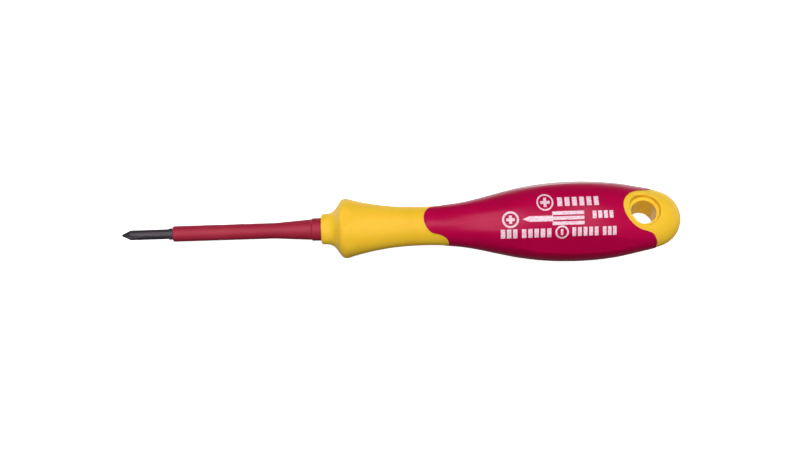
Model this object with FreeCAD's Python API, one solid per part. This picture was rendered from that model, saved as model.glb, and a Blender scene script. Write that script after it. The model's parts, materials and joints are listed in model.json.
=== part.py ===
import FreeCAD, Part
import math
import os

# Insulated cross-recess screwdriver, size 0, with a 60 mm blade.
# The tool lies along +X with its point at the origin. The hanging hole runs along Z.
# All sizes are millimetres. Blade stations are distances from the point, and handle
# stations are distances behind the handle's front face.

Vector = FreeCAD.Vector

# Driving dimensions: blade
BLADE_LENGTH = 60.0              # point to the handle's front face
BLADE_RADIUS = 1.5
POINT_RADIUS = 0.3               # small flat at the very point
POINT_LENGTH = 2.5               # length of the point's cone
WING_THICKNESS = 0.7             # the four wings of the cross point, at the point
FLUTE_LENGTH = 6.4               # the flutes run out on the shank here
FLUTE_LEAD = 0.5                 # the flute's cutter starts this far in front of the point
TANG_LENGTH = 66.0               # how far the blade reaches into the handle
EAR_START = 40.0                 # flattened ears that stop the tang from turning
EAR_LENGTH = 14.0
EAR_SPAN = 5.4
EAR_THICKNESS = 1.1
EAR_TAPER = 2.0
EAR_ROOT = 1.35                  # half-width where an ear leaves the rod

# Driving dimensions: blade insulation
UNDERSLEEVE_FRONT = 14.1         # where the dark under-layer begins
UNDERSLEEVE_RADIUS = 1.75
SLEEVE_FRONT = 15.3              # where the red layer begins
SLEEVE_NOSE_ROUND = 0.45         # rounding of its front edge
SLEEVE_RADIUS = 2.375
SLEEVE_FLARE_START = 46.0        # it widens in a straight cone from here
SLEEVE_FLARE_RADIUS = 3.12
BAND_LENGTH = 3.0                # raised band against the handle's face
BAND_RADIUS = 3.42
BAND_EDGE = 0.3
SLEEVE_ROOT_RADIUS = 3.0         # inside the handle
SLEEVE_ROOT_LENGTH = 14.0

# Driving dimensions: handle
HANDLE_LENGTH = 107.95
CREST_STATION = 7.4              # widest place of the front collar
CREST_RADIUS = 8.95
WAIST_STATION = 30.4
WAIST_RADIUS = 5.85
BELLY_STATION = 74.6
BELLY_RADIUS = 12.05
NECK_RADIUS = 4.55
NECK_EDGE = 0.3                  # rounding of the neck's front edge
NECK_END = (1.6, 4.66)
NECK_FILLET_MIDDLE = (3.3, 5.12)
FLARE_START = (4.5, 6.28)
FLARE_END = (5.7, 8.12)
CREST_ROUND_MIDDLE = (6.3, 8.70)
COLLAR_FLAT_HEIGHT = 8.35        # two flats that stop the tool from rolling

# The handle's half-width at hand-picked stations, from the crest to the tail.
FORM = (
    (CREST_STATION, CREST_RADIUS),
    (9.0, 8.62),
    (12.3, 7.78),
    (18.5, 6.62),
    (24.0, 6.05),
    (WAIST_STATION, WAIST_RADIUS),
    (43.0, 6.78),
    (50.2, 8.36),
    (57.4, 10.06),
    (64.7, 11.36),
    (BELLY_STATION, BELLY_RADIUS),
    (83.0, 11.85),
    (90.0, 11.02),
    (95.2, 9.99),
    (99.2, 9.16),
)
TAIL_RADIUS = 8.8                # the very end is round in plan
TAIL_ANGLES = range(70, -43, -14)    # degrees, past the tail's middle

# The tail is thinner along Z than it is wide.
FLATTEN_START = 74.0
FLATTEN_END = 98.0
TAIL_FLATNESS = 0.83

# Four long facets on the belly
FACET_ANGLE = 59.0               # of each facet's normal, from the Z axis
FACET_STATION = 75.5             # a facet's highest place
FACET_HEIGHT = 11.68             # its distance from the axis there
FACET_CURVE = 104.0              # it bends along the handle with this radius
FACET_REACH = 27.0               # the cutter's reach either way, past the facet's own ends

# Hanging hole
HOLE_STATION = 96.2
HOLE_RADIUS = 3.8
RIM_RADIUS = 4.75                # wider mouth at the upper face
RIM_FLOOR_HEIGHT = 5.0           # its ledge, from the handle's middle plane
BACK_RIM_RADIUS = 5.2            # the mouth at the lower face
BACK_FLOOR_HEIGHT = 4.0
MOUTH_EDGE = 0.35                # rounding of both mouths' outer edges

# Red grip, a thick layer over the yellow body
GRIP_PROUD = 0.15
# Plan outline of the grip, seen along the hanging hole, from its middle to one side
GRIP_FRONT = ((30.7, 0), (31.6, 2.9), (32.8, 4.05), (35.0, 4.6), (36.5, 5.1), (37.8, 5.85),
              (38.6, 6.6), (38.9, 7.4))
GRIP_REAR = ((89.6, 0), (90.7, 3.4), (92.6, 5.3), (94.8, 6.3), (97.2, 6.75), (98.7, 7.4),
             (99.55, 8.4), (99.8, 9.6))

# Radius of the bed that the grip lies on, at hand-picked stations
GRIP_BED = (
    (29.0, 4.0),
    (40.0, 4.4),
    (60.0, 8.8),
    (70.0, 10.2),
    (80.0, 9.8),
    (90.0, 7.2),
    (104.0, 4.2),
)

# Core that is moulded on to the tang
CORE_START = SLEEVE_ROOT_LENGTH
CORE_NECK_RADIUS = 2.9
CORE_NECK_END = 55.0
CORE_SIDES = 6
CORE_HEX_WIDTH = 11.0            # across the flats of its six-sided rear
CORE_END = 80.0

AXIS = Vector(1, 0, 0)
ORIGIN = Vector(0, 0, 0)
FULL_TURN = 360.0
WELL_CLEAR = 20.0                # further out than any surface of the tool
TOUCHING = 0.01                  # points closer than this are at the same place


def at_handle(shape):
    """Moves a shape made in handle stations to its place behind the blade."""
    return shape.translated(Vector(BLADE_LENGTH, 0, 0))


def flat_wire(points):
    """Straight edges through (x, y) points, closed."""
    return Part.makePolygon([Vector(x, y, 0) for x, y in points + points[:1]])


def arc(start, middle, end):
    """Circular edge through three (x, y) points."""
    return Part.Arc(Vector(*start, 0), Vector(*middle, 0), Vector(*end, 0)).toShape()


def line(start, end):
    """Straight edge between two (x, y) points."""
    return Part.LineSegment(Vector(*start, 0), Vector(*end, 0)).toShape()


def turned(edges):
    """Solid of revolution about X from edges that close on the axis."""
    face = Part.Face(Part.Wire(edges))
    return face.revolve(ORIGIN, AXIS, FULL_TURN)


def cylinder(start, end, radius):
    """Round bar along X."""
    return Part.makeCylinder(radius, end - start, Vector(start, 0, 0), AXIS)


def flatness(station):
    """Thickness over width of the handle's section at a station."""
    part = (station - FLATTEN_START) / (FLATTEN_END - FLATTEN_START)
    part = min(1.0, max(0.0, part))
    blend = part * part * (3.0 - 2.0 * part)
    return 1.0 - (1.0 - TAIL_FLATNESS) * blend


def form_outline(growth):
    """Outline from the crest to the axis at the tail, grown outward by growth.

    The curve is laid on past the axis, so that it crosses squarely, and cut there.
    """
    points = [Vector(x, radius + growth, 0) for x, radius in FORM]
    tail_centre = Vector(HANDLE_LENGTH - TAIL_RADIUS, 0, 0)
    for angle in TAIL_ANGLES:
        turn = math.radians(angle)
        spoke = Vector(math.cos(turn), math.sin(turn), 0)
        points.append(tail_centre + spoke * (TAIL_RADIUS + growth))
    outline = Part.BSplineCurve()
    outline.interpolate(Points=points, InitialTangent=Vector(1, 0, 0),
                        FinalTangent=Vector(-1, -1, 0))
    tail_end = Vector(HANDLE_LENGTH + growth, 0, 0)
    outline.segment(outline.FirstParameter, outline.parameter(tail_end))
    return outline


def long_form(growth):
    """The handle behind its crest, as one smooth solid, grown outward by growth."""
    outline = form_outline(growth)
    round_form = outline.toShape().revolve(ORIGIN, AXIS, FULL_TURN)
    surface = round_form.toNurbs().Faces[0].Surface
    for row, poles in enumerate(surface.getPoles(), start=1):
        for column, pole in enumerate(poles, start=1):
            pole.z *= flatness(pole.x)
            surface.setPole(row, column, pole)
    skin = surface.toShape()
    rims = [edge for edge in skin.Edges if edge.isClosed() and not edge.Degenerated]
    cap = Part.Face(Part.Wire(rims))
    return Part.Solid(Part.Shell([skin, cap.reversed()]))


def collar():
    """Neck and flare in front of the crest."""
    crest = (CREST_STATION, CREST_RADIUS)
    round_in = NECK_EDGE * (1.0 - math.sqrt(0.5))
    edges = [
        line((0, 0), (0, NECK_RADIUS - NECK_EDGE)),
        arc((0, NECK_RADIUS - NECK_EDGE), (round_in, NECK_RADIUS - round_in),
            (NECK_EDGE, NECK_RADIUS)),
        line((NECK_EDGE, NECK_RADIUS), NECK_END),
        arc(NECK_END, NECK_FILLET_MIDDLE, FLARE_START),
        line(FLARE_START, FLARE_END),
        arc(FLARE_END, CREST_ROUND_MIDDLE, crest),
        line(crest, (CREST_STATION, 0)),
        line((CREST_STATION, 0), (0, 0)),
    ]
    return turned(edges)


def across(points):
    """Smooth edge through plan points, crossing the middle squarely and ending outward."""
    curve = Part.BSplineCurve()
    curve.interpolate(Points=[Vector(x, y, 0) for x, y in points],
                      InitialTangent=Vector(0, 1, 0), FinalTangent=Vector(0, 1, 0))
    return curve.toShape()


def grip_outline():
    """Closed plan outline of the grip, wider than the handle at its sides."""
    front_corner, rear_corner = GRIP_FRONT[-1], GRIP_REAR[-1]
    half = [
        across(GRIP_FRONT),
        line(front_corner, (front_corner[0], WELL_CLEAR)),
        line((front_corner[0], WELL_CLEAR), (rear_corner[0], WELL_CLEAR)),
        line((rear_corner[0], WELL_CLEAR), rear_corner),
        across(GRIP_REAR),
    ]
    mirrored = [edge.mirror(ORIGIN, Vector(0, 1, 0)) for edge in half]
    return Part.Wire(Part.sortEdges(half + mirrored)[0])


def grip_pocket():
    """The space outside the grip's bed, between its front and rear outlines."""
    plan = Part.Face(grip_outline())
    region = plan.translated(Vector(0, 0, -WELL_CLEAR)).extrude(Vector(0, 0, 2 * WELL_CLEAR))
    start, end = GRIP_BED[0][0], GRIP_BED[-1][0]
    corners = [(start, 0)] + list(GRIP_BED) + [(end, 0), (start, 0)]
    bed = turned([line(here, there) for here, there in zip(corners, corners[1:])])
    return region.cut(bed)


def facet_cutter(angle):
    """Everything outside one long belly facet, whose normal leans by angle from Z."""
    corner = Vector(FACET_STATION - FACET_REACH, -WELL_CLEAR, 0)
    outside = Part.makeBox(2 * FACET_REACH, 2 * WELL_CLEAR, WELL_CLEAR, corner)
    centre = Vector(FACET_STATION, -WELL_CLEAR, FACET_HEIGHT - FACET_CURVE)
    inside = Part.makeCylinder(FACET_CURVE, 2 * WELL_CLEAR, centre, Vector(0, 1, 0))
    cutter = outside.cut(inside)
    cutter.rotate(ORIGIN, AXIS, angle)
    return cutter


def hanging_hole():
    """Through hole with a round ledge at each face."""
    centre = Vector(HOLE_STATION, 0, 0)
    bore = Part.makeCylinder(HOLE_RADIUS, 2 * WELL_CLEAR, centre - Vector(0, 0, WELL_CLEAR))
    top = Part.makeCylinder(RIM_RADIUS, WELL_CLEAR - RIM_FLOOR_HEIGHT,
                            centre + Vector(0, 0, RIM_FLOOR_HEIGHT))
    bottom = Part.makeCylinder(BACK_RIM_RADIUS, WELL_CLEAR - BACK_FLOOR_HEIGHT,
                               centre - Vector(0, 0, WELL_CLEAR))
    return bore.fuse([top, bottom])


def is_mouth_edge(edge):
    """True for the curved edges where a mouth of the hanging hole meets the handle's surface."""
    middle = edge.valueAt((edge.FirstParameter + edge.LastParameter) / 2)
    reach = math.hypot(middle.x - HOLE_STATION, middle.y)
    radius = RIM_RADIUS if middle.z > 0 else BACK_RIM_RADIUS
    floor = RIM_FLOOR_HEIGHT if middle.z > 0 else BACK_FLOOR_HEIGHT
    wavy = edge.BoundBox.ZLength > MOUTH_EDGE / 2
    upright = edge.BoundBox.XLength + edge.BoundBox.YLength < MOUTH_EDGE
    return wavy and not upright and abs(reach - radius) < TOUCHING and abs(middle.z) > floor


def core_form():
    """Outer form of the hidden core: a round neck and a six-sided rear."""
    neck = cylinder(CORE_START, CORE_NECK_END, CORE_NECK_RADIUS)
    corner_radius = CORE_HEX_WIDTH / math.sqrt(3)
    corners = []
    for index in range(CORE_SIDES + 1):
        angle = 2.0 * math.pi * index / CORE_SIDES
        corners.append(Vector(CORE_NECK_END, corner_radius * math.sin(angle),
                              corner_radius * math.cos(angle)))
    hexagon = Part.Face(Part.makePolygon(corners))
    rear = hexagon.extrude(Vector(CORE_END - CORE_NECK_END, 0, 0))
    return at_handle(neck.fuse(rear))


def flute(index):
    """One of the four flutes between the point's wings."""
    near = WING_THICKNESS / 2
    far = BLADE_RADIUS / math.sqrt(2)
    squares = []
    for station, low in ((-FLUTE_LEAD, near), (FLUTE_LENGTH, far)):
        corners = [(low, low), (WELL_CLEAR, low), (WELL_CLEAR, WELL_CLEAR), (low, WELL_CLEAR)]
        points = [Vector(station, y, z) for y, z in corners + corners[:1]]
        squares.append(Part.makePolygon(points))
    cutter = Part.makeLoft(squares, True, True)
    cutter.rotate(ORIGIN, AXIS, index * 90.0)
    return cutter


def tang_ears():
    """Flattened ears on the tang, tapered at both ends."""
    start = BLADE_LENGTH + EAR_START
    end = start + EAR_LENGTH
    high = EAR_SPAN / 2
    outline = [
        (start, -EAR_ROOT), (start + EAR_TAPER, -high), (end - EAR_TAPER, -high), (end, -EAR_ROOT),
        (end, EAR_ROOT), (end - EAR_TAPER, high), (start + EAR_TAPER, high), (start, EAR_ROOT),
    ]
    plate = Part.Face(flat_wire(outline)).extrude(Vector(0, 0, EAR_THICKNESS))
    return plate.translated(Vector(0, 0, -EAR_THICKNESS / 2))


def blade():
    """Hardened rod with a cross point and a tang with ears."""
    end = BLADE_LENGTH + TANG_LENGTH
    rod = turned([
        line((0, 0), (0, POINT_RADIUS)),
        line((0, POINT_RADIUS), (POINT_LENGTH, BLADE_RADIUS)),
        line((POINT_LENGTH, BLADE_RADIUS), (end - BLADE_RADIUS / 2, BLADE_RADIUS)),
        line((end - BLADE_RADIUS / 2, BLADE_RADIUS), (end, BLADE_RADIUS / 2)),
        line((end, BLADE_RADIUS / 2), (end, 0)),
        line((end, 0), (0, 0)),
    ])
    pointed = rod.cut([flute(index) for index in range(4)])
    return pointed.fuse(tang_ears())


def blade_undersleeve():
    """Thin dark layer between the blade and the red sleeve."""
    end = BLADE_LENGTH + SLEEVE_ROOT_LENGTH
    tube = cylinder(UNDERSLEEVE_FRONT, end, UNDERSLEEVE_RADIUS)
    return tube.cut(cylinder(UNDERSLEEVE_FRONT, end, BLADE_RADIUS))


def sleeve_form():
    """Outer form of the red sleeve, solid to the axis."""
    edge = SLEEVE_NOSE_ROUND
    edge_middle = edge * (1.0 - math.sqrt(0.5))
    band_start = BLADE_LENGTH - BAND_LENGTH
    root_end = BLADE_LENGTH + SLEEVE_ROOT_LENGTH
    return turned([
        line((SLEEVE_FRONT, 0), (SLEEVE_FRONT, SLEEVE_RADIUS - edge)),
        arc((SLEEVE_FRONT, SLEEVE_RADIUS - edge),
            (SLEEVE_FRONT + edge_middle, SLEEVE_RADIUS - edge_middle),
            (SLEEVE_FRONT + edge, SLEEVE_RADIUS)),
        line((SLEEVE_FRONT + edge, SLEEVE_RADIUS), (SLEEVE_FLARE_START, SLEEVE_RADIUS)),
        line((SLEEVE_FLARE_START, SLEEVE_RADIUS), (band_start, SLEEVE_FLARE_RADIUS)),
        line((band_start, SLEEVE_FLARE_RADIUS), (band_start + BAND_EDGE, BAND_RADIUS)),
        line((band_start + BAND_EDGE, BAND_RADIUS), (BLADE_LENGTH, BAND_RADIUS)),
        line((BLADE_LENGTH, BAND_RADIUS), (BLADE_LENGTH, SLEEVE_ROOT_RADIUS)),
        line((BLADE_LENGTH, SLEEVE_ROOT_RADIUS), (root_end, SLEEVE_ROOT_RADIUS)),
        line((root_end, SLEEVE_ROOT_RADIUS), (root_end, 0)),
        line((root_end, 0), (SLEEVE_FRONT, 0)),
    ])


def blade_sleeve():
    """Red insulation around the under-layer, from near the point into the handle."""
    end = BLADE_LENGTH + SLEEVE_ROOT_LENGTH
    return sleeve_form().cut(cylinder(SLEEVE_FRONT, end, UNDERSLEEVE_RADIUS))


def handle_core():
    """Hard core moulded around the tang."""
    return core_form().cut(blade())


def collar_flat(side):
    """Everything outside one of the collar's two flats."""
    height = WELL_CLEAR - COLLAR_FLAT_HEIGHT
    base = COLLAR_FLAT_HEIGHT if side > 0 else -WELL_CLEAR
    return Part.makeBox(WELL_CLEAR, 2 * WELL_CLEAR, height, Vector(0, -WELL_CLEAR, base))


def handle_body():
    """Yellow body: collar, waist, the inside of the belly, and the tail with its hole."""
    form = long_form(0).fuse(collar())
    form = form.cut([collar_flat(1), collar_flat(-1), hanging_hole()])
    form = form.makeFillet(MOUTH_EDGE, [edge for edge in form.Edges if is_mouth_edge(edge)])
    form = form.cut(grip_pocket())
    return at_handle(form).cut([core_form(), sleeve_form()])


def grip_cover():
    """Red grip around the belly, with a tongue at the front and lobes at the rear."""
    angles = (FACET_ANGLE, -FACET_ANGLE, FULL_TURN / 2 - FACET_ANGLE, FACET_ANGLE - FULL_TURN / 2)
    block = long_form(GRIP_PROUD).common(grip_pocket())
    return at_handle(block.cut([facet_cutter(angle) for angle in angles]))


PIECES = {
    "blade": blade,
    "blade_undersleeve": blade_undersleeve,
    "blade_sleeve": blade_sleeve,
    "handle_core": handle_core,
    "handle_body": handle_body,
    "grip_cover": grip_cover,
}

os.makedirs("parts", exist_ok=True)
for name, make in PIECES.items():
    shape = make()
    shape.exportStep("parts/" + name + ".step")
    box = shape.optimalBoundingBox(False)
    print(name, shape.ShapeType, len(shape.Solids), "solids", len(shape.Faces), "faces",
          "valid" if shape.isValid() else "INVALID", round(shape.Volume, 2), "mm3",
          "x", round(box.XMin, 2), round(box.XMax, 2), "y", round(box.YMin, 2),
          round(box.YMax, 2), "z", round(box.ZMin, 2), round(box.ZMax, 2))
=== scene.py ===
import json
import math
import bpy
from mathutils import Matrix, Vector
from mathutils.bvhtree import BVHTree

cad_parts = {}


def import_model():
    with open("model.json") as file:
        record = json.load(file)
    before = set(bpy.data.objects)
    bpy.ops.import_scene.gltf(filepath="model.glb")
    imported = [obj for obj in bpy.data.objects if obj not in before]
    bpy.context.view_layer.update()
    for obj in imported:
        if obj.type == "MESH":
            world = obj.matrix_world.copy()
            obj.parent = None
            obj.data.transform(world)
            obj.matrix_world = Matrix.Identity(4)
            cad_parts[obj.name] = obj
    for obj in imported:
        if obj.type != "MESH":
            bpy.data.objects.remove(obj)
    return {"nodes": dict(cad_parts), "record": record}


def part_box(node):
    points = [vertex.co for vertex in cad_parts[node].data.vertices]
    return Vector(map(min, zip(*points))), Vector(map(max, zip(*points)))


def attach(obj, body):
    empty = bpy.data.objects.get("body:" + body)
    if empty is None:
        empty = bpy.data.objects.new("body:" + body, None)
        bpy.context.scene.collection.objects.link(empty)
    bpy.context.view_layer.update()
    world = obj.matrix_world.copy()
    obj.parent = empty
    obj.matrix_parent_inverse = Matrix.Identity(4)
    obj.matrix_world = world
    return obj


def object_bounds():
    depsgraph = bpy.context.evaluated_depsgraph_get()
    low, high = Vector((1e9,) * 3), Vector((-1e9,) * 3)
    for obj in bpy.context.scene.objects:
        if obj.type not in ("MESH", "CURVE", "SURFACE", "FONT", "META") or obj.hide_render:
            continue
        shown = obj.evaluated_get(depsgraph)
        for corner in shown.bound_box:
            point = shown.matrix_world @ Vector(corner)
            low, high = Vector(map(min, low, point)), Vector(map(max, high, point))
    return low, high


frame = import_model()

# Looks for the insulated screwdriver. Metres; the tool lies along +X, its point at the origin.
# The CAD nodes keep their shapes and get materials here. The printed marks are new pieces.

MM = 0.001
cad_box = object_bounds()
nodes = frame["nodes"]
mounts = {mount["name"]: mount for mount in frame["record"]["mounts"]}

# ---------------------------------------------------------------- sizes from the frame
HANDLE_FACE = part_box("handle_body")[0].x
HOLE_X = mounts["hanging_hole"]["pos_m"][0]
HOLE_RADIUS = mounts["hanging_hole"]["dims"]["r_mm"] * MM
FLOOR_HEIGHT = cad_box[0].z

# ---------------------------------------------------------------- view
VIEW_ELEVATION = math.radians(66.0)      # the hanging hole leans back from the line of sight
VIEW_ROLL = math.radians(1.85)           # the tail is a little higher in the frame
VIEW_DISTANCE = 0.4
FRAME_WIDTH = 0.2408                     # width seen at the tool's axis
SENSOR = 36.0
VIEW_CENTRE_X = HANDLE_FACE + 23.6 * MM
VIEW_CENTRE_LIFT = 0.2 * MM

# ---------------------------------------------------------------- material helpers
CLOUD_SCALE = 55.0                       # noise features per metre
GLOSS_SCALE = 420.0
NOISE_ROUGHNESS = 0.55
NOISE_LOW = 0.3                          # most of a noise's values fall between these
NOISE_HIGH = 0.7
RED_GRAIN = 0.000008
FINE_GRAIN = 0.00001                     # heights of the surface grain, in metres
SLEEVE_GRAIN = 0.00002
YELLOW_GRAIN = 0.00003

BORE_ROUGHNESS = 0.3                     # share of the roughness left inside the hanging hole
BORE_EDGE_START = 0.05 * MM              # the polish fades out between these distances
BORE_EDGE_END = 0.3 * MM                 # from the bore's wall


class Graph:
    """A small wrapper that adds nodes to a new material and links them."""

    def __init__(self, name):
        self.material = bpy.data.materials.new(name)
        self.material.use_nodes = True
        self.tree = self.material.node_tree
        self.tree.nodes.clear()
        self.output = self.tree.nodes.new("ShaderNodeOutputMaterial")
        self.shader = self.tree.nodes.new("ShaderNodeBsdfPrincipled")
        self.link(self.shader.outputs["BSDF"], self.output.inputs["Surface"])
        self.place = self.tree.nodes.new("ShaderNodeTexCoord").outputs["Object"]

    def link(self, source, target):
        """Join an output to an input."""
        self.tree.links.new(source, target)

    def noise(self, scale, detail, stretch=(1.0, 1.0, 1.0)):
        """Noise in object space; scale is features per metre."""
        mapping = self.tree.nodes.new("ShaderNodeMapping")
        mapping.inputs["Scale"].default_value = stretch
        self.link(self.place, mapping.inputs["Vector"])
        noise = self.tree.nodes.new("ShaderNodeTexNoise")
        noise.inputs["Scale"].default_value = scale
        noise.inputs["Detail"].default_value = detail
        noise.inputs["Roughness"].default_value = NOISE_ROUGHNESS
        self.link(mapping.outputs["Vector"], noise.inputs["Vector"])
        return noise.outputs["Fac"]

    def ramp(self, source, stops):
        """Colour or grey ramp through (position, colour) stops."""
        ramp = self.tree.nodes.new("ShaderNodeValToRGB")
        elements = ramp.color_ramp.elements
        while len(elements) < len(stops):
            elements.new(0.5)
        for element, (position, colour) in zip(elements, stops):
            element.position = position
            element.color = (*colour, 1.0)
        self.link(source, ramp.inputs["Fac"])
        return ramp.outputs["Color"]

    def spread(self, source, low, high):
        """Source's middle range remapped to low..high."""
        remap = self.tree.nodes.new("ShaderNodeMapRange")
        remap.inputs["From Min"].default_value = NOISE_LOW
        remap.inputs["From Max"].default_value = NOISE_HIGH
        remap.inputs["To Min"].default_value = low
        remap.inputs["To Max"].default_value = high
        self.link(source, remap.inputs["Value"])
        return remap.outputs["Result"]

    def add(self, first, second):
        """Sum of two value outputs."""
        total = self.tree.nodes.new("ShaderNodeMath")
        total.operation = "ADD"
        self.link(first, total.inputs[0])
        self.link(second, total.inputs[1])
        return total.outputs["Value"]

    def bump(self, height, distance):
        """Bump of a height output, distance in metres."""
        bump = self.tree.nodes.new("ShaderNodeBump")
        bump.inputs["Distance"].default_value = distance
        self.link(height, bump.inputs["Height"])
        self.link(bump.outputs["Normal"], self.shader.inputs["Normal"])


def moulded(name, tones, roughness, grain_scale, grain_depth, specular=0.5):
    """Moulded plastic: clouded colour, fine grain and uneven gloss."""
    graph = Graph(name)
    cloud = graph.noise(CLOUD_SCALE, detail=4.0)
    graph.link(graph.ramp(cloud, [(0.3, tones[0]), (0.5, tones[1]), (0.7, tones[2])]),
               graph.shader.inputs["Base Color"])
    gloss = graph.noise(GLOSS_SCALE, detail=5.0)
    graph.link(graph.spread(gloss, *roughness), graph.shader.inputs["Roughness"])
    grain = graph.noise(grain_scale, detail=2.0)
    graph.bump(grain, grain_depth)
    graph.shader.inputs["Specular IOR Level"].default_value = specular
    return graph.material


def yellow_plastic():
    """Satin yellow plastic, slightly translucent, and polished inside the hanging hole."""
    material = moulded("yellow_plastic",
                       [(0.83, 0.515, 0.026), (0.87, 0.545, 0.031), (0.90, 0.57, 0.037)],
                       roughness=(0.38, 0.50), grain_scale=5200.0, grain_depth=YELLOW_GRAIN,
                       specular=0.22)
    tree = material.node_tree
    shader = next(node for node in tree.nodes if node.type == "BSDF_PRINCIPLED")
    shader.inputs["Diffuse Roughness"].default_value = 0.45
    shader.inputs["Subsurface Weight"].default_value = 0.3
    shader.inputs["Subsurface Radius"].default_value = (1.0, 0.5, 0.1)
    shader.inputs["Subsurface Scale"].default_value = 2.0 * MM
    place = tree.nodes.new("ShaderNodeTexCoord").outputs["Object"]
    from_axis = tree.nodes.new("ShaderNodeVectorMath")
    from_axis.operation = "SUBTRACT"
    from_axis.inputs[1].default_value = (HOLE_X, 0.0, 0.0)
    flat = tree.nodes.new("ShaderNodeVectorMath")
    flat.operation = "MULTIPLY"
    flat.inputs[1].default_value = (1.0, 1.0, 0.0)
    reach = tree.nodes.new("ShaderNodeVectorMath")
    reach.operation = "LENGTH"
    outside = tree.nodes.new("ShaderNodeMapRange")
    outside.inputs["From Min"].default_value = HOLE_RADIUS + BORE_EDGE_START
    outside.inputs["From Max"].default_value = HOLE_RADIUS + BORE_EDGE_END
    outside.inputs["To Min"].default_value = BORE_ROUGHNESS
    outside.inputs["To Max"].default_value = 1.0
    moulded_roughness = shader.inputs["Roughness"].links[0].from_socket
    scaled = tree.nodes.new("ShaderNodeMath")
    scaled.operation = "MULTIPLY"
    tree.links.new(place, from_axis.inputs[0])
    tree.links.new(from_axis.outputs["Vector"], flat.inputs[0])
    tree.links.new(flat.outputs["Vector"], reach.inputs[0])
    tree.links.new(reach.outputs["Value"], outside.inputs["Value"])
    tree.links.new(moulded_roughness, scaled.inputs[0])
    tree.links.new(outside.outputs["Result"], scaled.inputs[1])
    tree.links.new(scaled.outputs["Value"], shader.inputs["Roughness"])
    return material


def red_grip():
    """Smooth, half-glossy red rubber."""
    return moulded("red_grip",
                   [(0.41, 0.0006, 0.048), (0.44, 0.0008, 0.053), (0.47, 0.001, 0.058)],
                   roughness=(0.20, 0.27), grain_scale=4200.0, grain_depth=RED_GRAIN,
                   specular=0.15)


def red_sleeve():
    """Satin red insulation on the blade, a little duller than the grip."""
    return moulded("red_sleeve",
                   [(0.31, 0.014, 0.036), (0.335, 0.017, 0.041), (0.36, 0.021, 0.047)],
                   roughness=(0.38, 0.52), grain_scale=3000.0, grain_depth=SLEEVE_GRAIN,
                   specular=0.2)


def dark_layer():
    """Near-black insulation under the red sleeve."""
    return moulded("dark_layer",
                   [(0.022, 0.022, 0.030), (0.028, 0.028, 0.037), (0.036, 0.037, 0.048)],
                   roughness=(0.35, 0.5), grain_scale=6000.0, grain_depth=FINE_GRAIN)


def core_plastic():
    """Pale plastic of the hidden core."""
    return moulded("core_plastic",
                   [(0.55, 0.52, 0.46), (0.60, 0.58, 0.52), (0.64, 0.62, 0.56)],
                   roughness=(0.5, 0.6), grain_scale=4000.0, grain_depth=SLEEVE_GRAIN)


def black_steel():
    """Black-oxide steel with fine marks along the rod."""
    graph = Graph("black_steel")
    drawn = graph.noise(900.0, detail=4.0, stretch=(0.06, 1.0, 1.0))
    graph.link(graph.ramp(drawn, [(0.3, (0.034, 0.027, 0.034)), (0.55, (0.050, 0.040, 0.049)),
                                  (0.75, (0.085, 0.070, 0.082))]),
               graph.shader.inputs["Base Color"])
    patches = graph.noise(700.0, detail=4.0)
    graph.link(graph.spread(patches, 0.32, 0.5), graph.shader.inputs["Roughness"])
    graph.shader.inputs["Metallic"].default_value = 0.35
    graph.bump(graph.add(drawn, patches), FINE_GRAIN)
    return graph.material


def print_ink():
    """Pinkish white pad-print ink, thin enough in places for the red to tint it."""
    graph = Graph("print_ink")
    worn = graph.noise(2600.0, detail=4.0)
    graph.link(graph.ramp(worn, [(0.34, (0.70, 0.26, 0.40)), (0.5, (0.78, 0.58, 0.67)),
                                 (0.66, (0.84, 0.72, 0.78))]),
               graph.shader.inputs["Base Color"])
    graph.link(graph.spread(worn, 0.4, 0.6), graph.shader.inputs["Roughness"])
    graph.bump(worn, FINE_GRAIN)
    return graph.material


def give(node, material):
    """Replaces all of a CAD node's material slots by one material."""
    mesh = nodes[node].data
    mesh.materials.clear()
    mesh.materials.append(material)


# ---------------------------------------------------------------- printed marks
PRINT_LEAN = math.radians(24.0)          # the print faces this far round from the hole
PRINT_UP = Vector((0.0, math.cos(PRINT_LEAN), math.sin(PRINT_LEAN)))
PRINT_OUT = Vector((0.0, -math.sin(PRINT_LEAN), math.cos(PRINT_LEAN)))
INK_THICKNESS = 0.03 * MM
INK_CELL = 0.2 * MM                      # marks are cut this fine to follow the belly
RAY_START = 0.1                          # height that the search rays start from
WELD_REACH = 0.001 * MM                  # ends of a ring that meet are joined
RING_STEPS = 48
LOW_ROW = -3.1                           # heights that most marks of a row share, in millimetres
MIDDLE_ROW = 1.0
TOP_ROW = 5.75
GROOVE_STEP = 1.5                        # between the bars of the outlined handle


def grip_surface():
    """Search tree of the grip's mesh, for laying ink on it."""
    mesh = nodes["grip_cover"].data
    corners = [vertex.co.copy() for vertex in mesh.vertices]
    return BVHTree.FromPolygons(corners, [tuple(face.vertices) for face in mesh.polygons])


def on_grip(tree, along, up):
    """The point of the grip under a place in the print's plane, both in millimetres."""
    start = Vector((HANDLE_FACE + along * MM, 0, 0)) + PRINT_UP * up * MM + PRINT_OUT * RAY_START
    hit = tree.ray_cast(start, -PRINT_OUT)[0]
    if hit is None:
        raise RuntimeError("a printed mark misses the grip")
    return hit


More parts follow.
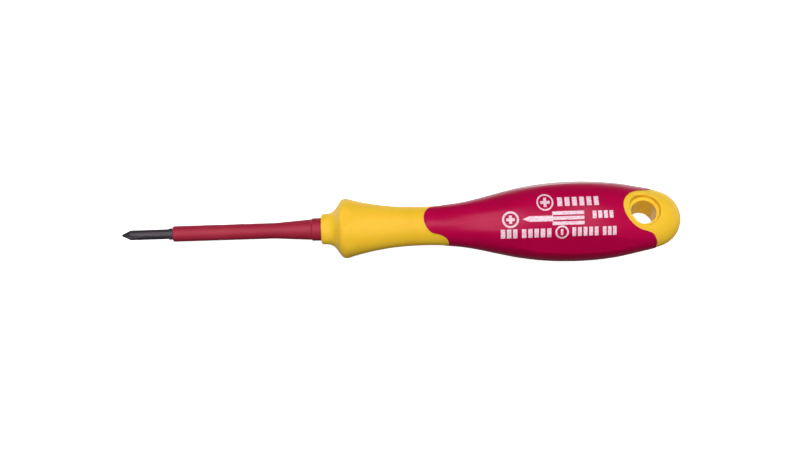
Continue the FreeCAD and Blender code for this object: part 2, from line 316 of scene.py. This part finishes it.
def four_sided(corners):
    """Points of a fine grid across a four-sided mark, rows of (along, up)."""
    low_left, low_right, high_right, high_left = corners
    wide = max(math.dist(low_left, low_right), math.dist(high_left, high_right))
    tall = max(math.dist(low_left, high_left), math.dist(low_right, high_right))
    columns = max(2, math.ceil(wide * MM / INK_CELL))
    rows = max(2, math.ceil(tall * MM / INK_CELL))
    grid = []
    for row in range(rows + 1):
        v = row / rows
        line = []
        for column in range(columns + 1):
            u = column / columns
            point = [low_left[k] * (1 - u) * (1 - v) + low_right[k] * u * (1 - v)
                     + high_right[k] * u * v + high_left[k] * (1 - u) * v for k in (0, 1)]
            line.append(point)
        grid.append(line)
    return grid


def bar(along, up, width, height):
    """Upright rectangle by its middle and size."""
    left, right = along - width / 2, along + width / 2
    low, high = up - height / 2, up + height / 2
    return four_sided([(left, low), (right, low), (right, high), (left, high)])


def ring(along, up, inner, outer):
    """Closed ring by its middle and radii."""
    grid = []
    for radius in (inner, (inner + outer) / 2, outer):
        turn = [2 * math.pi * step / RING_STEPS for step in range(RING_STEPS + 1)]
        grid.append([(along + radius * math.cos(a), up + radius * math.sin(a)) for a in turn])
    return grid


def ink(name, grids):
    """One printed piece made of several marks laid on the grip."""
    tree = grip_surface()
    vertices = []
    faces = []
    for grid in grids:
        first = len(vertices)
        columns = len(grid[0])
        for line in grid:
            vertices += [on_grip(tree, along, up) for along, up in line]
        for row in range(len(grid) - 1):
            for column in range(columns - 1):
                corner = first + row * columns + column
                faces.append((corner, corner + 1, corner + columns + 1, corner + columns))
    mesh = bpy.data.meshes.new(name)
    mesh.from_pydata(vertices, [], faces)
    piece = bpy.data.objects.new(name, mesh)
    bpy.context.scene.collection.objects.link(piece)
    weld = piece.modifiers.new("weld", "WELD")
    weld.merge_threshold = WELD_REACH
    thick = piece.modifiers.new("thickness", "SOLIDIFY")
    thick.thickness = INK_THICKNESS
    thick.offset = 0.0
    mesh.materials.append(INK)
    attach(piece, "root")


def block_row(first, last, up, height, count, gap):
    """A row of plain blocks filling a stretch."""
    width = (last - first - gap * (count - 1)) / count
    return [bar(first + width / 2 + index * (width + gap), up, width, height)
            for index in range(count)]


def cross(along, up, reach, width):
    """Plus sign made of a tall bar and two stubs that only touch it."""
    stub = reach - width / 2
    side = (reach + width / 2) / 2
    return [bar(along, up, width, 2 * reach), bar(along - side, up, stub, width),
            bar(along + side, up, stub, width)]


def printed_marks():
    """Plain marks in three rows, in place of the lettering on the real tool."""
    ink("print_badge", [ring(66.3, TOP_ROW, 2.0, 2.45)] + cross(66.3, TOP_ROW, 1.35, 0.85))
    ink("print_top_row", block_row(69.9, 82.1, 5.8, 2.6, 6, 0.75))
    tip = four_sided([(59.6, 0.95), (61.6, 0.2), (61.6, 1.8), (59.6, 1.05)])
    shaft = bar(64.9, MIDDLE_ROW, 6.6, 1.6)
    grooved = [bar(72.9, MIDDLE_ROW + lift, 9.2, 1.0)
               for lift in (-GROOVE_STEP, 0.0, GROOVE_STEP)]
    ink("print_middle_row",
        [ring(56.1, MIDDLE_ROW, 1.85, 2.45)] + cross(56.1, MIDDLE_ROW, 1.2, 0.85)
        + [tip, shaft, bar(68.25, MIDDLE_ROW, 0.1, 4.0)] + grooved)
    ink("print_small_blocks", block_row(80.0, 86.2, 1.75, 2.2, 4, 0.55))
    ink("print_bottom_left", block_row(53.2, 58.0, -3.2, 2.6, 3, 0.5)
        + block_row(59.3, 67.8, -3.2, 2.6, 5, 0.55))
    ink("print_bottom_ring", [ring(70.9, LOW_ROW, 1.45, 1.95), bar(70.9, LOW_ROW, 0.7, 1.7)])
    ink("print_bottom_right", block_row(73.9, 81.6, LOW_ROW, 2.6, 5, 0.55)
        + block_row(82.9, 87.0, LOW_ROW, 2.6, 3, 0.45))


# ---------------------------------------------------------------- studio
COVE_RADIUS = 4.0
COVE_BEND = 1.5                          # radius of the curve from the floor into the dome
COVE_STEPS = 12
COVE_SIDES = 64
COVE_GLOW = 0.85
PALE = (0.9, 0.9, 0.9, 1.0)
WHITE = (1.0, 1.0, 1.0, 1.0)

LIGHT_DISTANCE = 1.0
KEY_ELEVATION = math.radians(77.0)
KEY_SIZE = 0.5
KEY_RADIANCE = 14.4
PANEL_ELEVATION = math.radians(76.0)
PANEL_DEPTH = 1.4
PANEL_RADIANCE = 4.0
# Name, lean in degrees and width of each panel.
PANELS = (("left_softbox", -27.0, 0.38), ("right_softbox", 19.0, 0.34))

# Level of the surrounding light at angles in degrees: 0 is the front horizon, 90 is overhead,
# 180 and -180 are the back horizon, and -90 is straight below.
SURROUND = (
    (-180.0, 0.10), (-170.0, 0.2), (-162.0, 1.5), (-136.0, 1.6), (-122.0, 0.8),
    (-104.0, 0.7), (-84.0, 0.15), (-50.0, 0.03), (10.0, 0.03), (30.0, 0.07),
    (110.0, 0.07), (126.0, 0.04), (172.0, 0.04), (180.0, 0.10),
)


def studio_cove():
    """Pale floor that curves up into a dome. It shows to the camera only, as the backdrop."""
    profile = [(0.0, 0.0), (COVE_RADIUS - COVE_BEND, 0.0)]
    for step in range(1, COVE_STEPS + 1):
        turn = math.pi / 2 * step / COVE_STEPS
        profile.append((COVE_RADIUS - COVE_BEND * (1 - math.sin(turn)),
                        COVE_BEND * (1 - math.cos(turn))))
    for step in range(1, COVE_STEPS + 1):
        turn = math.pi / 2 * step / COVE_STEPS
        profile.append((COVE_RADIUS * math.cos(turn), COVE_BEND + COVE_RADIUS * math.sin(turn)))
    vertices = [(0.0, 0.0, height + FLOOR_HEIGHT) for _, height in (profile[0], profile[-1])]
    rings = profile[1:-1]
    for radius, height in rings:
        for step in range(COVE_SIDES):
            turn = 2 * math.pi * step / COVE_SIDES
            vertices.append((radius * math.cos(turn), radius * math.sin(turn),
                             height + FLOOR_HEIGHT))
    faces = []
    last = 2 + (len(rings) - 1) * COVE_SIDES
    for step in range(COVE_SIDES):
        beside = (step + 1) % COVE_SIDES
        faces.append((0, 2 + step, 2 + beside))
        faces.append((last + beside, last + step, 1))
        for ring_index in range(len(rings) - 1):
            low = 2 + ring_index * COVE_SIDES
            high = low + COVE_SIDES
            faces.append((low + beside, low + step, high + step, high + beside))
    mesh = bpy.data.meshes.new("studio_cove")
    mesh.from_pydata(vertices, [], faces)
    for face in mesh.polygons:
        face.use_smooth = True
    cove = bpy.data.objects.new("studio_cove", mesh)
    bpy.context.scene.collection.objects.link(cove)
    graph = Graph("studio_cove")
    graph.shader.inputs["Base Color"].default_value = PALE
    graph.shader.inputs["Roughness"].default_value = 0.9
    graph.shader.inputs["Specular IOR Level"].default_value = 0.0
    graph.shader.inputs["Emission Color"].default_value = WHITE
    graph.shader.inputs["Emission Strength"].default_value = COVE_GLOW
    mesh.materials.append(graph.material)
    cove.visible_diffuse = False
    cove.visible_glossy = False
    cove.visible_shadow = False


def softbox(name, lean, elevation, width, depth, radiance):
    """Soft light aimed at the tool: leans from upright along the tool, elevation from the front."""
    data = bpy.data.lights.new(name, "AREA")
    data.shape = "RECTANGLE"
    data.size = width
    data.size_y = depth
    data.energy = radiance * math.pi * width * depth
    light = bpy.data.objects.new(name, data)
    bpy.context.scene.collection.objects.link(light)
    across = Vector((0.0, -math.cos(elevation), math.sin(elevation)))
    out = across * math.cos(lean) + Vector((1.0, 0.0, 0.0)) * math.sin(lean)
    along = (Vector((1.0, 0.0, 0.0)) - out * out.x).normalized()
    middle = Vector((VIEW_CENTRE_X, 0.0, 0.0))
    turn = Matrix((along, out.cross(along), out)).transposed()
    light.matrix_world = Matrix.Translation(middle + out * LIGHT_DISTANCE) @ turn.to_4x4()
    light.visible_camera = False
    return light


def world():
    """Surrounding light that changes with the angle around the tool's own axis."""
    sky = bpy.data.worlds.new("studio")
    sky.use_nodes = True
    tree = sky.node_tree
    place = tree.nodes.new("ShaderNodeTexCoord")
    split = tree.nodes.new("ShaderNodeSeparateXYZ")
    tree.links.new(place.outputs["Generated"], split.inputs["Vector"])
    front = tree.nodes.new("ShaderNodeMath")
    front.operation = "MULTIPLY"
    front.inputs[1].default_value = -1.0
    tree.links.new(split.outputs["Y"], front.inputs[0])
    angle = tree.nodes.new("ShaderNodeMath")
    angle.operation = "ARCTAN2"
    tree.links.new(split.outputs["Z"], angle.inputs[0])
    tree.links.new(front.outputs["Value"], angle.inputs[1])
    position = tree.nodes.new("ShaderNodeMapRange")
    position.inputs["From Min"].default_value = -math.pi
    position.inputs["From Max"].default_value = math.pi
    tree.links.new(angle.outputs["Value"], position.inputs["Value"])
    ramp = tree.nodes.new("ShaderNodeValToRGB")
    elements = ramp.color_ramp.elements
    while len(elements) < len(SURROUND):
        elements.new(0.5)
    for element, (degrees, level) in zip(elements, SURROUND):
        element.position = (degrees + 180.0) / 360.0
        element.color = (level, level, level, 1.0)
    tree.links.new(position.outputs["Result"], ramp.inputs["Fac"])
    tree.links.new(ramp.outputs["Color"], tree.nodes["Background"].inputs["Color"])
    bpy.context.scene.world = sky


def lights():
    """A key that isn't seen in reflections, and two panels that are seen only there."""
    key = softbox("key", 0.0, KEY_ELEVATION, KEY_SIZE, KEY_SIZE, KEY_RADIANCE)
    key.visible_glossy = False
    for name, lean, width in PANELS:
        panel = softbox(name, math.radians(lean), PANEL_ELEVATION, width, PANEL_DEPTH,
                        PANEL_RADIANCE)
        panel.visible_diffuse = False


def camera():
    """Camera that looks down on the tool from the front, with a slight roll."""
    data = bpy.data.cameras.new("camera")
    data.sensor_width = SENSOR
    data.lens = SENSOR * VIEW_DISTANCE / FRAME_WIDTH
    view = bpy.data.objects.new("camera", data)
    bpy.context.scene.collection.objects.link(view)
    back = Vector((0.0, -math.cos(VIEW_ELEVATION), math.sin(VIEW_ELEVATION)))
    level_up = Vector((0.0, math.sin(VIEW_ELEVATION), math.cos(VIEW_ELEVATION)))
    level_right = Vector((1.0, 0.0, 0.0))
    right = level_right * math.cos(VIEW_ROLL) - level_up * math.sin(VIEW_ROLL)
    up = level_right * math.sin(VIEW_ROLL) + level_up * math.cos(VIEW_ROLL)
    target = Vector((VIEW_CENTRE_X, 0.0, 0.0)) + level_up * VIEW_CENTRE_LIFT
    turn = Matrix((right, up, back)).transposed()
    view.matrix_world = Matrix.Translation(target + back * VIEW_DISTANCE) @ turn.to_4x4()
    bpy.context.scene.camera = view


give("handle_body", yellow_plastic())
give("grip_cover", red_grip())
give("blade_sleeve", red_sleeve())
give("blade_undersleeve", dark_layer())
give("handle_core", core_plastic())
give("blade", black_steel())
INK = print_ink()
printed_marks()
studio_cove()
lights()
world()
camera()
bpy.context.scene.view_settings.view_transform = "Standard"
